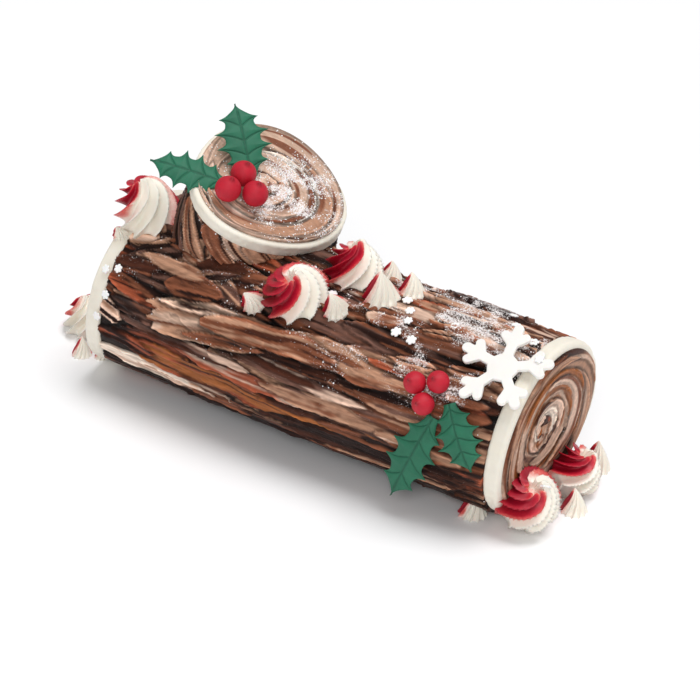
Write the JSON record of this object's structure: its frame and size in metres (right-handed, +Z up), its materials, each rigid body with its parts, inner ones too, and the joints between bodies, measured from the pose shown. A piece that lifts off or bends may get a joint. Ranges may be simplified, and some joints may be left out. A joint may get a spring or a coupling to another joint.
{
  "type": "yule log cake",
  "caption": "Frosted roll cake shaped as a log with a slanted stump on top, swirled end faces, piped rosettes, holly, berries and a snowflake; a dessert to slice and serve.",
  "frame": {"origin": "On the flat underside, below the middle of the log.", "axes": "+X along the log towards the snowflake end, +Z up, -Y the decorated front."},
  "size_m": [0.3991, 0.1318, 0.184],
  "materials": {
    "bark_frosting": "marbled palette-knife chocolate buttercream, satin",
    "vanilla_cream": "smooth off-white buttercream, satin",
    "swirled_frosting": "tan and brown swirled buttercream dusted with sugar",
    "piped_buttercream": "crimson and off-white two-tone piped buttercream, satin",
    "red_fondant": "soft matte red sugar paste",
    "green_fondant": "matte green gum paste with pressed veins",
    "white_fondant": "matte white gum paste"
  },
  "bodies": {
    "root": {"log": "bark_frosting", "stump_bark": "bark_frosting", "cream_band_left": "vanilla_cream", "cream_band_right": "vanilla_cream", "stump_cream": "vanilla_cream", "swirl_face_left": "swirled_frosting", "swirl_face_right": "swirled_frosting", "stump_face": "swirled_frosting", "snowflake": "white_fondant", "rosette_middle_left": "piped_buttercream", "rosette_middle_right": "piped_buttercream", "rosette_left_top": "piped_buttercream", "rosette_right_front": "piped_buttercream", "rosette_right_back": "piped_buttercream", "rosette_left_base": "piped_buttercream", "kiss_middle_1": "piped_buttercream", "kiss_middle_2": "piped_buttercream", "kiss_middle_3": "piped_buttercream", "kiss_middle_4": "piped_buttercream", "kiss_middle_5": "piped_buttercream", "kiss_left_top": "piped_buttercream", "kiss_right_front": "piped_buttercream", "kiss_right_middle": "piped_buttercream", "kiss_right_back": "piped_buttercream", "kiss_left_front": "piped_buttercream", "kiss_left_inner": "piped_buttercream", "berry_top_1": "red_fondant", "berry_top_2": "red_fondant", "berry_top_3": "red_fondant", "berry_front_1": "red_fondant", "berry_front_2": "red_fondant", "berry_front_3": "red_fondant", "leaf_top_upright": "green_fondant", "leaf_top_side": "green_fondant", "leaf_front_left": "green_fondant", "leaf_front_right": "green_fondant"}
  },
  "joints": []
}
